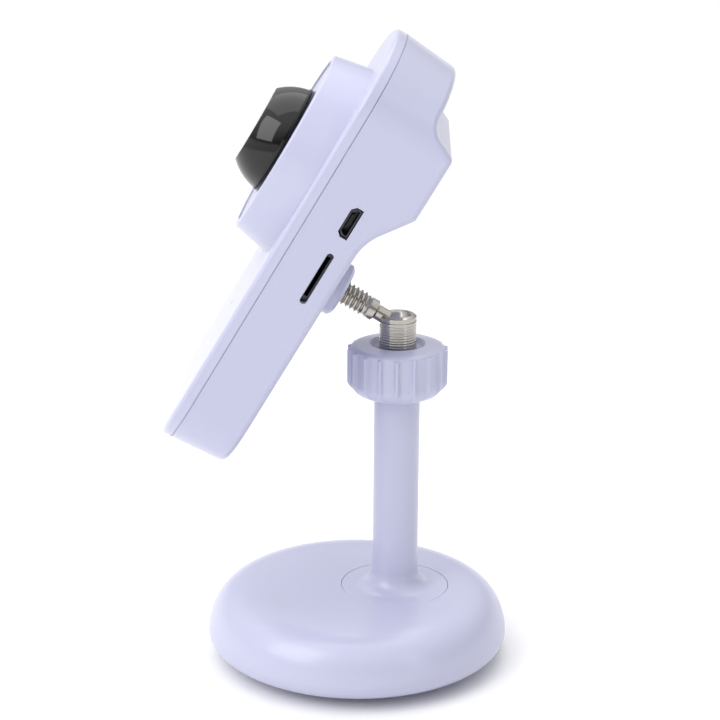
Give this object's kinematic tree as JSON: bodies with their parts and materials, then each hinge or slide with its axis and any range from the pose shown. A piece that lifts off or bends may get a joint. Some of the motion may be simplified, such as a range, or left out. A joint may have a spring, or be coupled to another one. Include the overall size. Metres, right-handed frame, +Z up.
{
  "type": "baby monitor camera",
  "caption": "Nursery camera with a domed lens on a tall flat housing, held by a metal ball stud and locking collar on a weighted round table stand.",
  "frame": {"origin": "centre of the foot pad's underside, on the table", "axes": "+Z up, the lens faces -Y and up, +X is the side with the charging socket and card slot"},
  "size_m": [0.08, 0.0907, 0.1669],
  "materials": {
    "white_plastic": "moulded ABS, pale lavender white, polished mould finish",
    "dome_plastic": "black infrared-passing polycarbonate, polished",
    "window": "dark flat window",
    "nickel": "turned steel, nickel plated",
    "screw_steel": "zinc plated steel screws",
    "ballast_iron": "pressed steel weight, phosphated",
    "pad_rubber": "closed cell rubber sheet",
    "insert_brass": "turned brass",
    "circuit_board": "glass epoxy board with green solder mask",
    "black_plastic": "black moulded plastic",
    "tin_plate": "tin plated steel sheet",
    "led_lens": "tinted epoxy",
    "lens_glass": "coated glass",
    "nylon": "natural nylon",
    "flex_film": "polyimide film"
  },
  "bodies": {
    "stand": {"foot_pad": "pad_rubber", "base_plate": "black_plastic", "plate_screws": "screw_steel", "ballast": "ballast_iron", "base_shell": "white_plastic", "column": "white_plastic", "column_screws": "screw_steel"},
    "socket": {"ball_socket": "nickel", "socket_washer": "screw_steel", "socket_screw": "screw_steel"},
    "stud": {"ball_stud": "nickel"},
    "head": {"back_cover": "white_plastic", "front_cover": "white_plastic", "lens_bezel": "white_plastic", "lens_dome": "dome_plastic", "lens_window": "window", "case_screws": "screw_steel", "board_screws": "screw_steel", "sensor_screws": "screw_steel", "threaded_insert": "insert_brass", "main_board": "circuit_board", "sensor_board": "circuit_board", "led_board": "circuit_board", "lens_barrel": "black_plastic", "lens_holder": "black_plastic", "dome_spacer": "black_plastic", "processor": "black_plastic", "pair_switch": "black_plastic", "usb_tongue": "black_plastic", "loudspeaker": "black_plastic", "image_sensor": "black_plastic", "light_sensor": "black_plastic", "usb_socket": "tin_plate", "card_socket": "tin_plate", "shield_can": "tin_plate", "microphone": "tin_plate", "infrared_leds": "led_lens", "front_lens": "lens_glass", "sensor_cable": "flex_film", "antenna": "flex_film"},
    "button": {"pair_button": "white_plastic"},
    "clamp": {"clamp_ring": "nylon"},
    "collar": {"locking_collar": "white_plastic"}
  },
  "joints": [
    {"name": "socket_pan", "type": "hinge", "parent": "stand", "child": "socket", "pos_m": [0, 0.01, 0.0915], "axis": [0, 0, 1], "continuous": true},
    {"name": "stud_tilt", "type": "hinge", "parent": "socket", "child": "stud", "pos_m": [0, 0.01, 0.0915], "axis": [1, 0, 0], "range_deg": [-75, 0]},
    {"name": "head_roll", "type": "hinge", "parent": "stud", "child": "head", "pos_m": [0, 0.01, 0.0915], "axis": [0, -0.8607, 0.509], "continuous": true},
    {"name": "button_press", "type": "slide", "parent": "head", "child": "button", "axis": [0, -0.8607, 0.509], "range_m": [0, 0.0005], "stiffness_N_per_m": 600},
    {"name": "clamp_lift", "type": "slide", "parent": "stand", "child": "clamp", "axis": [0, 0, 1], "range_m": [0, 0.0015]},
    {"name": "collar_turn", "type": "hinge", "parent": "clamp", "child": "collar", "pos_m": [0, 0.01, 0.08], "axis": [0, 0, 1], "range_deg": [0, 360]}
  ],
  "couplings": [
    {"joint": "clamp_lift", "follows": "collar_turn", "m_per_rad": 0.0002387}
  ]
}
